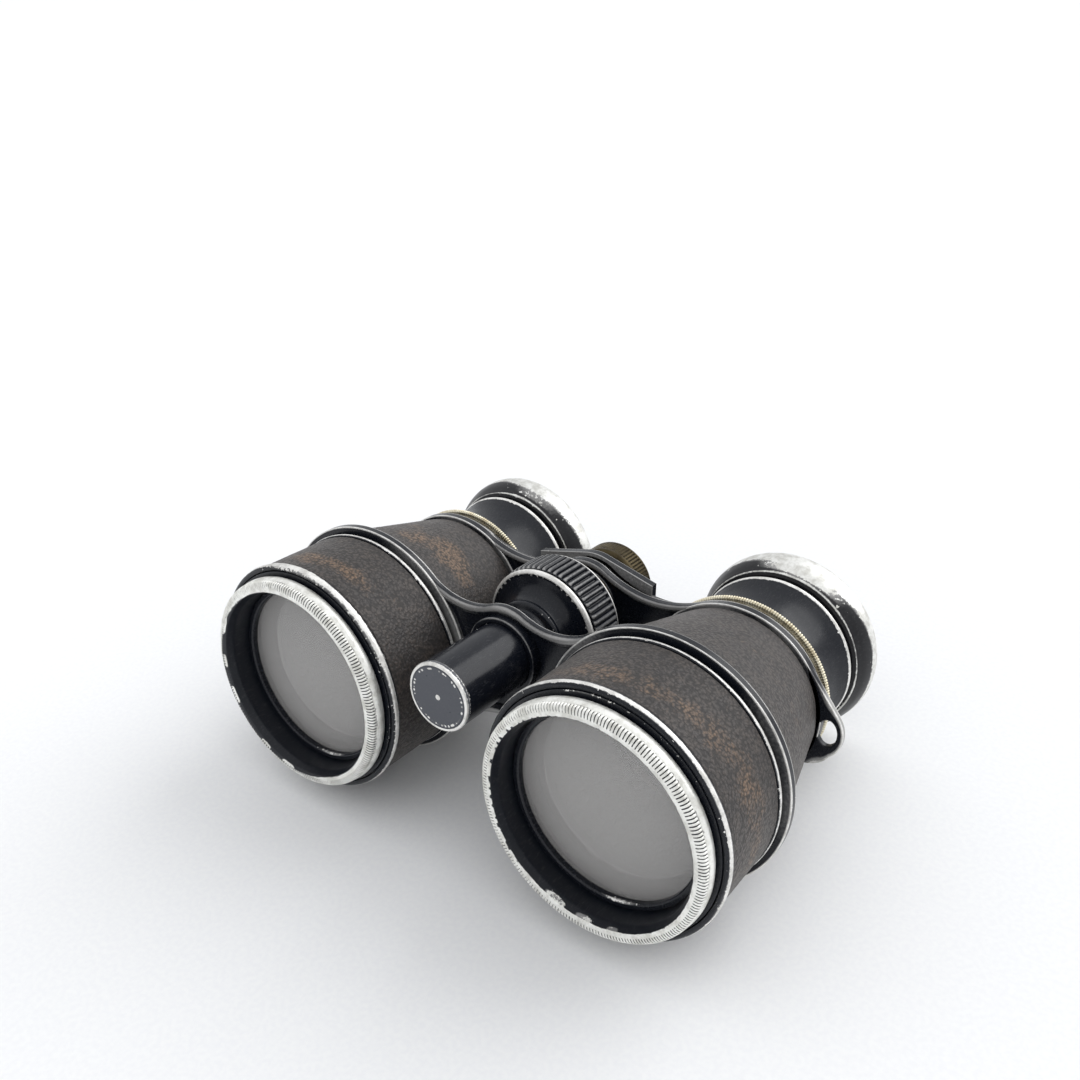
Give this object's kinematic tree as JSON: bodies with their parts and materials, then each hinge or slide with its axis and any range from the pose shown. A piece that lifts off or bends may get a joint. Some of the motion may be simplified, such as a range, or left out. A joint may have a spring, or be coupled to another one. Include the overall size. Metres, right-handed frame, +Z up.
{
  "type": "opera glasses",
  "caption": "Old Galilean field-type opera glasses: leather-covered twin barrels, raised centre focus wheel and a sliding eyepiece bridge.",
  "frame": {"origin": "centre of the bounding box's underside at rest: on the plane that the front bridge rings touch when the glasses lie flat, midway between the barrels and halfway along their length", "axes": "+Y along both optical axes from the objectives to the eyepieces, +Z up with the raised focus column on top, +X to the user's left when looking from the eyepieces"},
  "size_m": [0.1068, 0.07, 0.0448],
  "materials": {
    "black_lacquer": "gloss black lacquer, chipped and rubbed to bare pale metal along edges and beads",
    "worn_aluminium": "knurled lip and plain band rubbed bare, satin, with the last of the black lacquer chipped inside the mouth",
    "pale_brass": "fine straight knurl, plating worn to a pale brassy silver",
    "brass": "turned brass, dull and brown with age",
    "steel": "turned steel, satin",
    "leather": "fine pebble grain, black-brown, rubbed to tan in patches",
    "cup_black": "black enamel on metal, top and rim rubbed to bare pale metal",
    "glass": "clear polished, slightly dusty"
  },
  "bodies": {
    "frame": {"objective_cell_left": "worn_aluminium", "objective_retaining_ring_left": "black_lacquer", "objective_front_lens_left": "glass", "objective_rear_lens_left": "glass", "barrel_shell_left": "black_lacquer", "front_trim_ring_left": "black_lacquer", "middle_trim_ring_left": "black_lacquer", "front_leather_left": "leather", "rear_leather_left": "leather", "draw_tube_bush_left": "brass", "objective_cell_right": "worn_aluminium", "objective_retaining_ring_right": "black_lacquer", "objective_front_lens_right": "glass", "objective_rear_lens_right": "glass", "barrel_shell_right": "black_lacquer", "front_trim_ring_right": "black_lacquer", "middle_trim_ring_right": "black_lacquer", "front_leather_right": "leather", "rear_leather_right": "leather", "draw_tube_bush_right": "brass", "front_bridge": "black_lacquer", "rear_bridge": "black_lacquer", "centre_tube": "black_lacquer", "centre_tube_cap": "black_lacquer", "front_thrust_washer": "brass", "rear_thrust_washer": "brass"},
    "focus_wheel": {"focus_wheel_hub": "black_lacquer", "focus_wheel_drum": "black_lacquer", "focus_nut": "brass"},
    "eyepiece_carriage": {"draw_tube_left": "steel", "eyepiece_knurled_ring_left": "pale_brass", "eyepiece_bell_left": "black_lacquer", "ocular_lens_left": "glass", "ocular_retaining_ring_left": "black_lacquer", "eyecup_left": "cup_black", "draw_tube_right": "steel", "eyepiece_knurled_ring_right": "pale_brass", "eyepiece_bell_right": "black_lacquer", "ocular_lens_right": "glass", "ocular_retaining_ring_right": "black_lacquer", "eyecup_right": "cup_black", "sliding_bridge": "black_lacquer", "focus_spindle": "steel", "spindle_stop_collar": "brass", "spindle_knob": "brass", "spindle_cross_pin": "steel"}
  },
  "joints": [
    {"name": "focus_wheel_spin", "type": "hinge", "parent": "frame", "child": "focus_wheel", "pos_m": [0, 0, 0.03045], "axis": [0, -1, 0], "range_deg": [0, 720]},
    {"name": "eyepiece_slide", "type": "slide", "parent": "frame", "child": "eyepiece_carriage", "axis": [0, 1, 0], "range_m": [0, 0.014]}
  ],
  "couplings": [
    {"joint": "focus_wheel_spin", "follows": "eyepiece_slide", "rad_per_m": 897.5}
  ]
}
